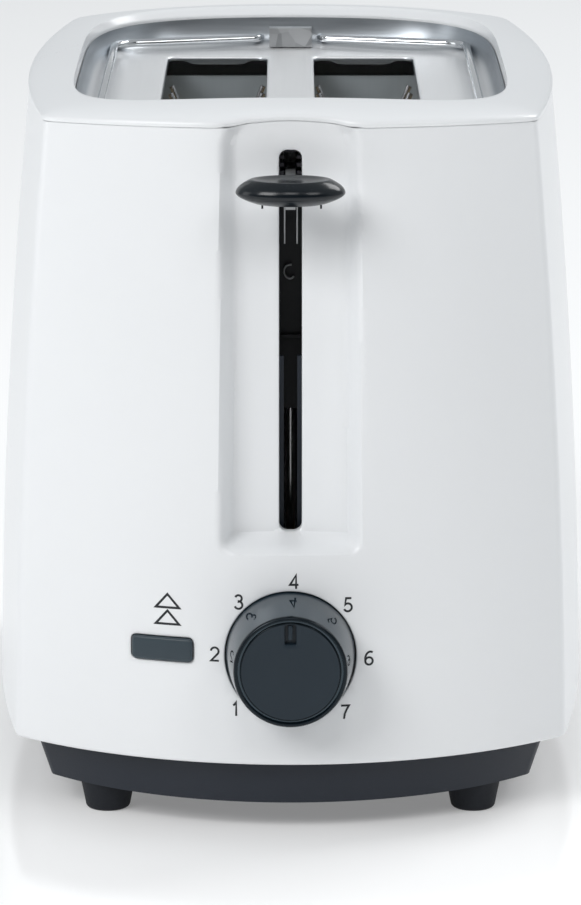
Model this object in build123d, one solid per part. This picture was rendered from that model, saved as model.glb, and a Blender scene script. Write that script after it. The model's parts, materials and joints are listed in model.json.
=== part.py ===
from build123d import *
import math
import os

# ---------------------------------------------------------------- driving dimensions (mm)
# The body is a barrel: four bowed faces that meet at sharp upright edges.
# Each half size is (value at the body's lower edge, linear loss, quadratic loss) up to the upper edge.
BODY_BOTTOM = 20.0
BODY_TOP = 186.0
SIDE_MID = (82.4, 2.2, 7.3)
CORNER_X = (73.9, 2.6, 6.4)
CORNER_Y = (103.0, 1.5, 5.5)
END_MID = (131.7, 5.0, 12.5)
WALL = 2.5

# Reach of the dial at the front and of the cord gland at the rear, from the body's middle.
FRONT_REACH = 146.5
REAR_REACH = 133.3
FRAME_SHIFT = (FRONT_REACH - REAR_REACH) / 2

# Lever pocket and slot
POCKET_HALF = 18.3
POCKET_BOTTOM = 77.0
POCKET_DEPTH_LOW = 11.0
POCKET_DEPTH_HIGH = 8.5
POCKET_BOW = 4.5
SLOT_WIDTH = 6.0
SLOT_LOW = 80.0
SLOT_HIGH = 180.5
SLOT_CORNER = 2.2

# Top ring, recess tray and bread slots
COVER_BOTTOM = 186.3
COVER_TOP = 192.0
COVER_SKIN = 2.2
OPENING = (54.6, 81.5, 59.0, 89.8)
OPENING_CORNER = 12.0
BEVEL_BOTTOM = 189.8
BEVEL_GROW = (1.0, 3.2)
TRAY_FLOOR = 180.0
TRAY_TOP = 189.3
TRAY_SHEET = 0.8
BREAD_SLOT_X = 21.5
BREAD_SLOT_WIDTH = 29.4
BREAD_SLOT_LENGTH = 139.0
SLOT_FLANGE = 5.5

# Bun-rack wire frames
RACK_WIRE = 2.4
RACK_Z = 183.0
RACK_PIVOT_X = 9.0
RACK_BAR_X = 52.0
RACK_BAR_END = 74.0
RACK_BEND_Y = 86.5
RACK_PIN_END = 96.5
PIN_CLEARANCE = 0.05

# Base, feet and screws
BASE_BOTTOM = 8.0
BASE_FLOOR = 2.5
BASE_TOP = 24.0
BASE_LOW = (64.5, 98.0, 72.0, 125.5)
BASE_HIGH = (69.5, 99.8, 77.5, 128.2)
FOOT_X = 49.3
FOOT_Y = 101.3
FOOT_BOTTOM_R = 5.8
FOOT_TOP_R = 7.4
POST_X = 52.0
POST_Y = 88.0

# Dial, button and their places on the front
CONTROL_Z = 49.3
BUTTON_Z = 50.2
DIAL_HOLE_R = 17.3
DIAL_BACK_R = 16.9
DIAL_FRONT_R = 14.8
DIAL_BACK = 126.5
DIAL_RIM = 1.3
DIAL_RECESS = 0.6
SHAFT_R = 3.0
BUTTON_X = -33.8
BUTTON_SIZE = (16.4, 6.6)
BUTTON_GAP = 0.35
BUTTON_PROUD = 1.0

# Chassis and carriage; distances from the middle towards the front are negative Y
PLATE_Y = 74.0
PLATE_SHEET = 1.0
CHASSIS_LOW = 26.0
CHASSIS_HIGH = 173.5
ROD_Y = -86.0
ROD_R = 2.0
CARRIAGE_Y = -91.0
CARRIAGE_SHEET = 1.2
TRAVEL_DOWN = 84.0
RACK_LOW = 112.0
RACK_HIGH = 120.0
KNOB_LOW = 169.4
KNOB_HIGH = 175.8
KNOB_BACK = 118.0
KNOB_FRONT = 136.5
KNOB_HALF = 14.2
ARM_THICK = 2.6

# Crumb tray
TRAY_PULL_HALF = 46.0
CRUMB_HALF = 44.0
CRUMB_FRONT = -72.0
CRUMB_REAR = 106.0
CRUMB_LOW = 10.9
CRUMB_HIGH = 16.4


# ---------------------------------------------------------------- shared geometry
def profile(values, z):
    """Half size at a height, from its value at the lower edge and its two losses."""
    t = (z - BODY_BOTTOM) / (BODY_TOP - BODY_BOTTOM)
    return values[0] - values[1] * t - values[2] * t * t


def body_halves(z, inset=0.0):
    """Corner X, corner Y, side middle and end middle of the barrel at a height."""
    sizes = (CORNER_X, CORNER_Y, SIDE_MID, END_MID)
    return tuple(profile(size, z) - inset for size in sizes)


def bowed_face(halves, z, corner=0.0):
    """A four-sided face with bowed sides, level at height z."""
    cx, cy, sx, ey = halves
    sides = [
        ThreePointArc((cx, -cy), (sx, 0), (cx, cy)),
        ThreePointArc((cx, cy), (0, ey), (-cx, cy)),
        ThreePointArc((-cx, cy), (-sx, 0), (-cx, -cy)),
        ThreePointArc((-cx, -cy), (0, -ey), (cx, -cy)),
    ]
    face = make_face(sides)
    if corner:
        face = fillet(face.vertices(), corner)
    return Pos(0, 0, z) * face


def barrel(low, high, inset=0.0, steps=4):
    """Solid barrel between two heights, inset from the body's outer faces."""
    heights = [low + (high - low) * i / steps for i in range(steps + 1)]
    return loft([bowed_face(body_halves(z, inset), z) for z in heights])


def block(x0, x1, y0, y1, z0, z1):
    """Box between two corners."""
    centre = ((x0 + x1) / 2, (y0 + y1) / 2, (z0 + z1) / 2)
    return Pos(*centre) * Box(abs(x1 - x0), abs(y1 - y0), abs(z1 - z0))


def rod(start, end, radius):
    """Round rod between two points."""
    start = Vector(*start)
    along = Vector(*end) - start
    align = (Align.CENTER, Align.CENTER, Align.MIN)
    return Plane(origin=start, z_dir=along) * Cylinder(radius, along.length, align=align)


def bent_wire(points, radii, radius):
    """Round wire along straight runs joined by arcs."""
    path = FilletPolyline(*points, radius=radii)
    section = Plane(origin=path @ 0, z_dir=path % 0) * Circle(radius)
    return sweep(section, path=path)


def fused(shapes):
    """All shapes joined into one."""
    whole = shapes[0]
    for shape in shapes[1:]:
        whole = whole + shape
    return whole


def save(name, shape):
    """Write one sub-part, moved so that the whole object's box is centred on the origin."""
    export_step(Pos(0, FRAME_SHIFT, 0) * shape, f"parts/{name}.step")


def pocket_depth(z):
    """Depth of the lever pocket's middle at a height."""
    t = (z - POCKET_BOTTOM) / (BODY_TOP - POCKET_BOTTOM)
    return POCKET_DEPTH_LOW + (POCKET_DEPTH_HIGH - POCKET_DEPTH_LOW) * t


def pocket_tool(grow=0.0):
    """Space of the lever pocket in the front face, open to the front and at the top."""
    sections = []
    half = POCKET_HALF + grow
    for z in (POCKET_BOTTOM - grow, 110.0, 150.0, BODY_TOP + 4.0):
        floor = -(profile(END_MID, z) - pocket_depth(z)) + grow
        edge = floor - POCKET_BOW
        outline = [
            Line((half, edge), (half, -150)),
            Line((half, -150), (-half, -150)),
            Line((-half, -150), (-half, edge)),
            ThreePointArc((-half, edge), (0, floor), (half, edge)),
        ]
        sections.append(Pos(0, 0, z) * make_face(outline))
    return loft(sections)


# ---------------------------------------------------------------- housing
def body_shell():
    """White housing: barrel shell with the lever pocket and its screw bosses."""
    outer = barrel(BODY_BOTTOM, BODY_TOP) - pocket_tool()
    inner = barrel(BODY_BOTTOM - 1, BODY_TOP + 1, WALL) - pocket_tool(WALL)
    shell = outer - inner
    slot_middle = (SLOT_LOW + SLOT_HIGH) / 2
    slot = RectangleRounded(SLOT_WIDTH, SLOT_HIGH - SLOT_LOW, SLOT_CORNER)
    shell -= extrude(Plane((0, -100, slot_middle), z_dir=(0, -1, 0), x_dir=(1, 0, 0)) * slot, 40)
    shell -= rod((0, -150, CONTROL_Z), (0, -110, CONTROL_Z), DIAL_HOLE_R)
    width, height = BUTTON_SIZE
    hole = RectangleRounded(width + 2 * BUTTON_GAP, height + 2 * BUTTON_GAP, 1.5)
    shell -= extrude(Plane((BUTTON_X, -110, BUTTON_Z), z_dir=(0, -1, 0), x_dir=(1, 0, 0)) * hole, 40)
    shell -= rod((0, 110, 36), (0, 150, 36), 6.6)
    room = barrel(BASE_TOP + 0.5, 60, WALL / 2)
    for x in (-POST_X, POST_X):
        for side in (-1, 1):
            boss = rod((x, side * POST_Y, BASE_TOP + 0.5), (x, side * POST_Y, 50), 4.0)
            rib = block(x - 1, x + 1, side * (POST_Y + 3), side * 130, BASE_TOP + 0.5, 50)
            post = (boss + rib & room) - rod((x, side * POST_Y, 24), (x, side * POST_Y, 42), 1.6)
            shell = shell + post
    return shell


def cover_dome(drop, inset):
    """Domed solid of the top ring's upper surface, lowered and inset for its underside."""
    steps = ((COVER_BOTTOM, -0.3), (189.0, 2.0), (191.0, 7.5), (COVER_TOP, 13.0))
    return loft([bowed_face(body_halves(COVER_BOTTOM, s + inset), z - drop) for z, s in steps])


def opening_face(z, grow_side=0.0, grow_end=0.0):
    """Outline of the recess opening at a height."""
    cx, cy, sx, ey = OPENING
    halves = (cx + grow_side, cy + grow_end, sx + grow_side, ey + grow_end)
    return bowed_face(halves, z, OPENING_CORNER)


def top_cover():
    """White ring round the recess, with a bevelled opening and a skirt inside the body shell."""
    ring = cover_dome(0, 0) - cover_dome(COVER_SKIN, COVER_SKIN)
    skirt = barrel(180, COVER_BOTTOM + 1.0, WALL + 0.4, 2) - barrel(179, COVER_BOTTOM + 2.0, WALL + 2.2, 2)
    ring = ring + (skirt - pocket_tool(WALL + 0.5))
    ring -= extrude(opening_face(170), BEVEL_BOTTOM - 170)
    bevel = [opening_face(BEVEL_BOTTOM), opening_face(COVER_TOP + 0.2, *BEVEL_GROW)]
    return ring - loft(bevel, ruled=True)


def tray_bowl(sheet):
    """Solid of the recess bowl: a floor with rounded rise into flared walls."""
    rises = ((0.0, 4.6, 5.4), (0.8, 2.8, 3.2), (3.2, 1.2, 1.6), (TRAY_TOP - TRAY_FLOOR, 0.9, 0.9))
    faces = []
    for rise, side, end in rises:
        z = TRAY_FLOOR + rise - (sheet if rise < 9 else 0)
        faces.append(opening_face(z, sheet - side, sheet - end))
    return faces


def top_tray():
    """Pressed steel recess with two bread slots and their turned-down flanges."""
    outer = loft(tray_bowl(TRAY_SHEET))
    inner_faces = tray_bowl(0.0)
    inner = loft(inner_faces) + extrude(inner_faces[-1], 2)
    tray = outer - inner
    for x in (-BREAD_SLOT_X, BREAD_SLOT_X):
        hole = RectangleRounded(BREAD_SLOT_WIDTH, BREAD_SLOT_LENGTH, 3.0)
        lip = RectangleRounded(BREAD_SLOT_WIDTH + 2 * TRAY_SHEET, BREAD_SLOT_LENGTH + 2 * TRAY_SHEET, 3.8)
        low = TRAY_FLOOR - TRAY_SHEET - SLOT_FLANGE
        tray = tray + extrude(Pos(x, 0, low) * lip, SLOT_FLANGE + TRAY_SHEET / 2)
        tray = tray - extrude(Pos(x, 0, low - 1) * hole, SLOT_FLANGE + 3)
    for side in (-1, 1):
        tray -= block(-6.6, 6.6, side * 83, side * 92, 180.3, 186.5)
        for x in (-RACK_PIVOT_X, RACK_PIVOT_X):
            tray -= rod((x, side * 84.5, RACK_Z), (x, side * 92, RACK_Z), RACK_WIRE / 2 + 0.6)
    return tray


def base_outline(z, inset=0.0):
    """Base outline at a height, between its narrow foot and its wide top."""
    t = (z - BASE_BOTTOM) / (BASE_TOP - BASE_BOTTOM)
    halves = tuple(low + (high - low) * t - inset for low, high in zip(BASE_LOW, BASE_HIGH))
    return bowed_face(halves, z, 4.0)


def base_solid(low, high, inset):
    """Straight-sided solid of the base between two heights."""
    return loft([base_outline(low, inset), base_outline(high, inset)], ruled=True)


def base():
    """Dark base: floor, skirt, screw posts, cooling slots and the crumb tray's opening."""
    tub = base_solid(BASE_BOTTOM, BASE_TOP, 0) - base_solid(BASE_BOTTOM + BASE_FLOOR, BASE_TOP + 1, WALL)
    for x in (-POST_X, POST_X):
        for y in (-POST_Y, POST_Y):
            tub = tub + rod((x, y, BASE_BOTTOM), (x, y, BASE_TOP), 4.0)
            tub -= rod((x, y, BASE_BOTTOM - 1), (x, y, BASE_TOP + 1), 1.6)
            tub -= rod((x, y, BASE_BOTTOM - 1), (x, y, BASE_BOTTOM + 2.2), 3.3)
    for x in (-FOOT_X, FOOT_X):
        for y in (-FOOT_Y, FOOT_Y):
            tub -= rod((x, y, BASE_BOTTOM - 1), (x, y, BASE_BOTTOM + 4), 2.7)
    gap = 0.8
    tub -= block(-TRAY_PULL_HALF - gap, TRAY_PULL_HALF + gap, 90, 140, BASE_BOTTOM + BASE_FLOOR, 17.9)
    for row in (-1, 1):
        for i in range(7):
            y = -54 + 18 * i
            vent = block(row * 50 - 4.0, row * 50 + 4.0, y - 2.2, y + 2.2, BASE_BOTTOM - 1, BASE_BOTTOM + 4)
            tub -= vent
    return tub


def feet():
    """Four tapered rubber feet with pegs in the base floor."""
    solids = []
    align = (Align.CENTER, Align.CENTER, Align.MIN)
    for x in (-FOOT_X, FOOT_X):
        for y in (-FOOT_Y, FOOT_Y):
            cone = Pos(x, y, 0) * Cone(FOOT_BOTTOM_R, FOOT_TOP_R, BASE_BOTTOM, align=align)
            cone = fillet(cone.edges().sort_by(Axis.Z)[0], 1.2)
            solids.append(cone + rod((x, y, BASE_BOTTOM - 1), (x, y, BASE_BOTTOM + 4.5), 2.6))
    return Compound(solids)


def base_screws():
    """Four pan-head screws that hold the base to the body shell."""
    solids = []
    for x in (-POST_X, POST_X):
        for y in (-POST_Y, POST_Y):
            head = rod((x, y, BASE_BOTTOM + 0.4), (x, y, BASE_BOTTOM + 2.2), 3.1)
            slot = block(x - 3.2, x + 3.2, y - 0.4, y + 0.4, BASE_BOTTOM, BASE_BOTTOM + 1.1)
            cross = block(x - 0.4, x + 0.4, y - 3.2, y + 3.2, BASE_BOTTOM, BASE_BOTTOM + 1.1)
            shank = rod((x, y, BASE_BOTTOM + 2), (x, y, 40), 1.5)
            solids.append(head - slot - cross + shank)
    return Compound(solids)


def slot_guard():
    """Dark ribbed lips that close the lower half of the lever slot behind the pocket."""
    guard = block(-9, 9, -111, -109.4, 74, 126)
    for i in range(-4, 5):
        if abs(i) > 1:
            guard = guard + block(i * 2 - 0.5, i * 2 + 0.5, -109.5, -108.6, 76, 125)
    return guard - block(-1.8, 1.8, -112, -108, 78, 127)


def cord_gland():
    """Round inlet bush at the rear for the mains lead."""
    gland = rod((0, 114, 36), (0, 131.8, 36), 6.5) + rod((0, 131.7, 36), (0, REAR_REACH, 36), 8.5)
    gland = gland + rod((0, 114, 36), (0, 116, 36), 8.0)
    return gland - rod((0, 110, 36), (0, 140, 36), 3.7)


# ---------------------------------------------------------------- chassis and heating
def chassis_plate(side):
    """Upright steel plate at one end of the toasting chamber, slotted for the bread racks."""
    face = side * PLATE_Y
    back = side * (PLATE_Y + PLATE_SHEET)
    plate = block(-54, 54, face, back, CHASSIS_LOW, CHASSIS_HIGH)
    for x in (-52, 52):
        plate = plate + block(x - 2, x + 2, face, back, BASE_BOTTOM + BASE_FLOOR, CHASSIS_LOW)
    for x in (-BREAD_SLOT_X, BREAD_SLOT_X):
        plate -= block(x - 2.2, x + 2.2, side * 70, side * 80, RACK_LOW - TRAVEL_DOWN - 1.5, RACK_HIGH + 6)
    return plate


def reflector(side):
    """Bright sheet beside one outer heating element."""
    sheet = block(side * 46.5, side * 47.3, -73.5, 73.5, 27, 172)
    top = block(side * 44.8, side * 46.6, -73.5, 73.5, 171.2, 172)
    bottom = block(side * 44.8, side * 46.6, -73.5, 73.5, 27, 27.8)
    return sheet + top + bottom


ELEMENTS = {"left": -41.6, "centre": 0.0, "right": 41.6}
MICA_HALF = 0.4


def mica_board(x):
    """Mica sheet that carries one heating ribbon."""
    return block(x - MICA_HALF, x + MICA_HALF, -73.5, 73.5, 36, 168)


def heating_ribbon(x):
    """Flat ribbon wound round one mica board, as nine level turns."""
    turns = []
    outer = MICA_HALF + 0.35
    for i in range(9):
        z = 46 + 14 * i
        band = block(x - outer, x + outer, -66, 66, z - 0.9, z + 0.9)
        turns.append(band - block(x - MICA_HALF, x + MICA_HALF, -67, 67, z - 2, z + 2))
    strips = [solid for turn in turns for solid in turn.solids()]
    return Compound(strips)


def guide_cage(x, outward):
    """Row of upright guide wires on one side of a bread slot, flared at the top."""
    wire = 0.8
    wires = []
    for i in range(9):
        y = -60 + 15 * i
        top = (x + outward * 4.0, y, 172.5)
        wires.append(rod((x, y, 36), (x, y, 163), wire))
        wires.append(Pos(x, y, 163) * Sphere(wire))
        wires.append(rod((x, y, 163), top, wire))
    for z in (40, 158):
        wires.append(rod((x + outward * 1.4, -66, z), (x + outward * 1.4, 66, z), wire))
    return fused(wires)


# ---------------------------------------------------------------- carriage
def carriage_plate():
    """Sheet slide behind the lever, with two guide bushes and the spring's hook tab."""
    front = CARRIAGE_Y - CARRIAGE_SHEET
    plate = block(-26, 26, front, CARRIAGE_Y, 108, 122) + block(-9, 16, front, CARRIAGE_Y, 120, 171)
    for z in (110, 158):
        bush = rod((0, ROD_Y, z), (0, ROD_Y, z + 9), 4.4)
        web = block(-2.2, 2.2, CARRIAGE_Y, ROD_Y, z, z + 9)
        plate = plate + (bush + web)
    plate = plate + block(11, 15, CARRIAGE_Y, -83, 147.4, 149)
    return plate - rod((0, ROD_Y, 100), (0, ROD_Y, 180), ROD_R + PIN_CLEARANCE)


def lever_arm():
    """Flat arm from the carriage through the slot to the knob."""
    half = ARM_THICK / 2
    arm = block(-half, half, CARRIAGE_Y - CARRIAGE_SHEET, -(KNOB_BACK + 8), 166.5, 174.6)
    return arm - block(-half, half, -120, -140, 166, 170.8)


def lever_knob():
    """Oval finger knob with a flat dished top and a rounded rim."""
    middle = -(KNOB_BACK + KNOB_FRONT) / 2
    depth = (KNOB_FRONT - KNOB_BACK) / 2
    sections = ((KNOB_LOW, 0.80), (171.0, 0.93), (172.8, 1.0), (174.6, 0.95), (KNOB_HIGH, 0.82))
    faces = [Pos(0, middle, z) * Ellipse(KNOB_HALF * s, depth * s) for z, s in sections]
    knob = loft(faces)
    dish = Pos(0, middle, KNOB_HIGH - 0.6) * extrude(Ellipse(KNOB_HALF * 0.66, depth * 0.6), 2)
    return knob - dish - lever_arm()


def bread_rack(x):
    """Strip under one slice with cross bars for the bread to stand on."""
    strip = block(x - 0.6, x + 0.6, CARRIAGE_Y, 79, RACK_LOW, RACK_HIGH)
    for i in range(7):
        y = -60 + 20 * i
        strip = strip + rod((x - 7.5, y, RACK_HIGH - 1.4), (x + 7.5, y, RACK_HIGH - 1.4), 1.2)
    return strip


def armature_plate():
    """Steel plate on the carriage that the magnet holds when the lever is down."""
    return block(-19.2, -6.6, CARRIAGE_Y, -77.5, 114.4, 116)


def guide_rod():
    """Upright rod that the carriage slides on."""
    return rod((0, ROD_Y, BASE_BOTTOM + BASE_FLOOR), (0, ROD_Y, 178.4), ROD_R)


def rod_bracket():
    """Bracket that holds the rod's upper end and the return spring to the front plate."""
    arm = block(-6, 18, -(PLATE_Y + PLATE_SHEET), -90, 177, 178.6)
    leg = block(-6, 18, -(PLATE_Y + PLATE_SHEET), -(PLATE_Y + 2 * PLATE_SHEET), 160, 178)
    return arm + leg - rod((0, ROD_Y, 170), (0, ROD_Y, 180), ROD_R + PIN_CLEARANCE)


def coil_spring(radius, wire, pitch, length):
    """Helical spring along Z from the origin."""
    helix = Helix(pitch, length - 2 * wire, radius)
    section = Plane(origin=helix @ 0, z_dir=helix % 0) * Circle(wire)
    return Pos(0, 0, wire) * sweep(section, path=helix, is_frenet=True)


def return_spring():
    """Tension spring between the carriage's tab and the rod bracket."""
    return Pos(13, ROD_Y, 149) * coil_spring(3.0, 0.45, 2.0, 28)


def magnet_core():
    """Laminated core that holds the armature plate down."""
    core = block(-17.5, -8, -86, -79, 14, 30.2) + block(-17.5, -8, -86, -77.5, 12, 14.5)
    return core


def magnet_coil():
    """Winding round the magnet core."""
    coil = block(-19, -6.5, -87.5, -77.5, 15, 27)
    return coil - block(-17.5, -8, -86, -79, 14, 28)


def magnet_bracket():
    """Pressed seat of the magnet on the base floor."""
    return block(-22, -5, -88, -77, BASE_BOTTOM + BASE_FLOOR, 12)


# ---------------------------------------------------------------- controls
def circuit_board():
    """Upright board behind the dial and the button."""
    return block(-44, 40, -107, -105.4, BASE_BOTTOM + BASE_FLOOR, 70)


def board_components():
    """Capacitors, transformer and chip on the board."""
    solids = [rod((x, -105.4, 30), (x, -96.5, 30), 3.4) for x in (14, 22)]
    solids.append(block(-40, -24, -105.4, -95.5, 22, 40))
    solids.append(block(4, 14, -105.4, -103, 40, 56))
    return Compound(solids)


def timer_pot():
    """Potentiometer that the dial's shaft turns in."""
    pot = block(-8, 8, -114, -107, CONTROL_Z - 8, CONTROL_Z + 8)
    return pot - rod((0, -115, CONTROL_Z), (0, -106.9, CONTROL_Z), SHAFT_R + PIN_CLEARANCE)


def dial_shaft():
    """Shaft from the dial into the potentiometer."""
    return rod((0, -DIAL_BACK, CONTROL_Z), (0, -107.4, CONTROL_Z), SHAFT_R)


def browning_dial():
    """Conical dial with a raised rim and a pointer notch at the top."""
    front = Plane((0, -DIAL_BACK, CONTROL_Z), z_dir=(0, -1, 0), x_dir=(1, 0, 0))
    align = (Align.CENTER, Align.CENTER, Align.MIN)
    length = FRONT_REACH - DIAL_BACK
    dial = front * Cone(DIAL_BACK_R, DIAL_FRONT_R, length, align=align)
    recess = front.offset(length - DIAL_RECESS) * Cylinder(DIAL_FRONT_R - DIAL_RIM, 2, align=align)
    notch = block(-1.9, 1.9, -FRONT_REACH + 1.8, -FRONT_REACH - 1, CONTROL_Z + 8, CONTROL_Z + 14.2)
    rib = block(-0.5, 0.5, -FRONT_REACH + 1.9, -FRONT_REACH + 0.2, CONTROL_Z + 8.8, CONTROL_Z + 14.0)
    return dial - recess - notch + rib


def stop_button():
    """Curved rectangular button with a retaining flange behind the housing."""
    width, height = BUTTON_SIZE
    front = Plane((BUTTON_X, -116.5, BUTTON_Z), z_dir=(0, -1, 0), x_dir=(1, 0, 0))
    bar = extrude(front * RectangleRounded(width, height, 1.2), 16)
    bar = bar & barrel(40, 60, -BUTTON_PROUD, 2)
    flange = block(BUTTON_X - 9.6, BUTTON_X + 9.6, -117, -115.8, BUTTON_Z - 4.6, BUTTON_Z + 4.6)
    return bar + flange


def button_switch():
    """Small switch on the board, whose plunger ends just behind the pressed button."""
    case = block(BUTTON_X - 4, BUTTON_X + 4, -110, -107, BUTTON_Z - 4, BUTTON_Z + 4)
    return case + rod((BUTTON_X, -110, BUTTON_Z), (BUTTON_X, -113.2, BUTTON_Z), 1.6)


# ---------------------------------------------------------------- crumb tray
def crumb_tray():
    """Shallow sheet tray under the chamber."""
    outside = block(-CRUMB_HALF, CRUMB_HALF, CRUMB_FRONT, CRUMB_REAR, CRUMB_LOW, CRUMB_HIGH)
    inside = block(-CRUMB_HALF + 0.8, CRUMB_HALF - 0.8, CRUMB_FRONT + 0.8, CRUMB_REAR - 0.8, CRUMB_LOW + 0.8, 20)
    return outside - inside


def tray_pull():
    """Bowed plastic front of the crumb tray with its finger lip."""
    low = BASE_BOTTOM + BASE_FLOOR + 0.5
    high = 17.4
    skin = base_solid(9, 20, -3.0) - base_solid(8.5, 21, 3.0)
    pull = skin & block(-TRAY_PULL_HALF, TRAY_PULL_HALF, 60, 140, low, high)
    tongue = block(-30, 30, CRUMB_REAR, 125, low, low + 2.4)
    return pull + (tongue & base_solid(9, 20, 2.0))


# ---------------------------------------------------------------- bun rack
def rack_frame(side):
    """Bent wire frame of one half of the bun rack, with its two pivot ends."""
    pivot = side * RACK_PIVOT_X
    bar = side * RACK_BAR_X
    points = [
        (pivot, -RACK_PIN_END, RACK_Z),
        (pivot, -RACK_BEND_Y, RACK_Z),
        (bar, -RACK_BAR_END, RACK_Z),
        (bar, RACK_BAR_END, RACK_Z),
        (pivot, RACK_BEND_Y, RACK_Z),
        (pivot, RACK_PIN_END, RACK_Z),
    ]
    return bent_wire(points, [3, 9, 9, 3], RACK_WIRE / 2)


def rack_bearing(side):
    """Bearing block for both wire frames behind one end wall, with its nose in the recess."""
    bearing = block(-15, 15, side * 90.5, side * 97, 178.8, 187)
    nose = block(-6.3, 6.3, side * 84.6, side * 90.6, 180.6, 186.2)
    bearing = bearing + nose
    for x in (-RACK_PIVOT_X, RACK_PIVOT_X):
        bearing -= rod((x, side * 80, RACK_Z), (x, side * 100, RACK_Z), RACK_WIRE / 2 + PIN_CLEARANCE)
    return bearing


# ---------------------------------------------------------------- mains
def terminal_block():
    """Terminal block on the rear plate."""
    body = block(-14, 14, PLATE_Y + PLATE_SHEET, 87, 28, 46)
    for x in (-7, 7):
        body -= rod((x, 81, 40), (x, 81, 47), 2.0)
    return body


def lead_wires():
    """Two insulated leads from the terminal block to the circuit board."""
    leads = []
    for z in (33, 41):
        route = [(14, 81, z), (60, 81, z), (60, -79.5, z), (30, -79.5, z), (30, -105.4, z)]
        leads.append(bent_wire(route, [6, 6, 3], 1.4))
    return Compound(leads)


# ---------------------------------------------------------------- write every sub-part
def main():
    os.makedirs("parts", exist_ok=True)
    single = (
        body_shell, top_cover, top_tray, base, feet, base_screws, slot_guard, cord_gland,
        carriage_plate, lever_arm, lever_knob, armature_plate, guide_rod, rod_bracket, return_spring,
        magnet_core, magnet_coil, magnet_bracket, circuit_board, board_components, timer_pot,
        dial_shaft, browning_dial, stop_button, button_switch, crumb_tray, tray_pull,
        terminal_block, lead_wires,
    )
    for maker in single:
        save(maker.__name__, maker())
    for name, x in ELEMENTS.items():
        save(f"mica_board_{name}", mica_board(x))
        save(f"heating_ribbon_{name}", heating_ribbon(x))
    for name, side in (("left", -1), ("right", 1)):
        save(f"reflector_{name}", reflector(side))
        save(f"bread_rack_{name}", bread_rack(side * BREAD_SLOT_X))
        save(f"rack_frame_{name}", rack_frame(side))
        save(f"guide_cage_{name}_outer", guide_cage(side * (BREAD_SLOT_X + 9.5), side))
        save(f"guide_cage_{name}_inner", guide_cage(side * (BREAD_SLOT_X - 9.5), -side))
    for name, side in (("front", -1), ("rear", 1)):
        save(f"{name}_plate", chassis_plate(side))
        save(f"rack_bearing_{name}", rack_bearing(side))


main()
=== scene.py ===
import json
import math

import bmesh
import bpy
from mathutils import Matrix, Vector
from mathutils.geometry import delaunay_2d_cdt


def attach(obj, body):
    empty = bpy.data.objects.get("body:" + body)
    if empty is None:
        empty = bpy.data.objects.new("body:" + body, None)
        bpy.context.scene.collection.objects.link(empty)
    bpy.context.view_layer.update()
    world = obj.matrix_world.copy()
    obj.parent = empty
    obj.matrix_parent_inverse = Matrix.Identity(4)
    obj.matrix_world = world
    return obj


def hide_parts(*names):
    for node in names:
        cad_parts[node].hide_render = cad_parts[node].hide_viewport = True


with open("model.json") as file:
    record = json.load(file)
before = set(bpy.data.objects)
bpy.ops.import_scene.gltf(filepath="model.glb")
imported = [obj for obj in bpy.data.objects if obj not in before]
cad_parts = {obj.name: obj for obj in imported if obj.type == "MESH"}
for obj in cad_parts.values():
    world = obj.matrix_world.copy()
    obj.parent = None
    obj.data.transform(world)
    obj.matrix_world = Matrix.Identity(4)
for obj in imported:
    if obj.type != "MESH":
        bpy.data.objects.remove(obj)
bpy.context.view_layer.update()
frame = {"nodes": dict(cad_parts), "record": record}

# ------------------------------------------------------------ driving dimensions (mm)
# Lengths are measured from the middle of the housing; the frame's origin lies further forward.
SHIFT_Y = 6.6
BODY_LOW = 20.0
BODY_HIGH = 186.0
# Half sizes: at the housing's foot, then how much they lose linearly and as a square up to its top
CORNER_X = (73.9, 2.6, 6.4)
CORNER_Y = (103.0, 1.5, 5.5)
SIDE_MID = (82.4, 2.2, 7.3)
END_MID = (131.7, 5.0, 12.5)
SHELL = 2.5
EDGE_TANGENT = 1.6
FOOT_ROUND = 0.8
FOOT_LIFT = 9.0
TAPER_END = 188.0
ROW_STEP = 2.5

# Lever pocket: depth at its foot and its loss upwards; fade is where, to where and how much it thins
POCKET_HALF = 18.9
POCKET_LOW = 76.2
POCKET_BLEND = 4.2
POCKET_DEPTH = (11.0, 2.5)
POCKET_BOW = 4.2
POCKET_FADE = (166.0, 190.0, 0.5)
POCKET_TOP = 191.0
POCKET_CORNER = 9.0
SLOT_HALF = 3.0
SLOT_LOW = 80.0
SLOT_HIGH = 180.5
SLOT_CORNER = 2.2
HOLE_ROUND = 0.5
BUTTON_CORNER = 1.4

CONTROL_Z = 49.3
DIAL_HOLE_R = 17.3
DIAL_BACK_R = 16.9
DIAL_COLLAR_R = 17.1
DIAL_FRONT_R = 14.8
DIAL_BACK = 126.5
DIAL_FRONT = 146.5
DIAL_COLLAR = 129.4
DIAL_RIM = 1.0
DIAL_GROOVE = 0.7
DIAL_RECESS = 0.35
NOTCH_LOW = 7.4
NOTCH_HALF = 1.5
NOTCH_DEEP = 1.5
NOTCH_ROUND = 0.2
BUTTON_X = -33.8
BUTTON_Z = 50.2
BUTTON_HALF = (8.1, 3.1)
BUTTON_GAP = 0.16
BUTTON_PROUD = 1.0
GLAND_Z = 36.0
GLAND_R = 6.6

RIM_LOW = 186.05
RIM_DOME = 186.85
RIM_CREST = 191.9
RIM_LIP = 0.3
RIM_ARCH = 1.45
RIM_ARCH_HALF = 16.4
SEAM_CROWN = 0.8
SEAM_HALF = 65.0
CROWN = 1.9
CROWN_HALF = 55.0
# Squareness of the rim's inner loops at the front and at the rear
SQUARE_FRONT = 5.2
SQUARE_REAR = 4.6
CREST = (59.5, 93.0)
THROAT = (59.2, 89.7)
RECESS_FLOOR = 180.0
RECESS_RISE = 182.4
SLOT_EDGE = 0.9
BREAD_X = 21.5
BREAD_HALF = (14.7, 69.5)
BREAD_CORNER = 3.0

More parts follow.
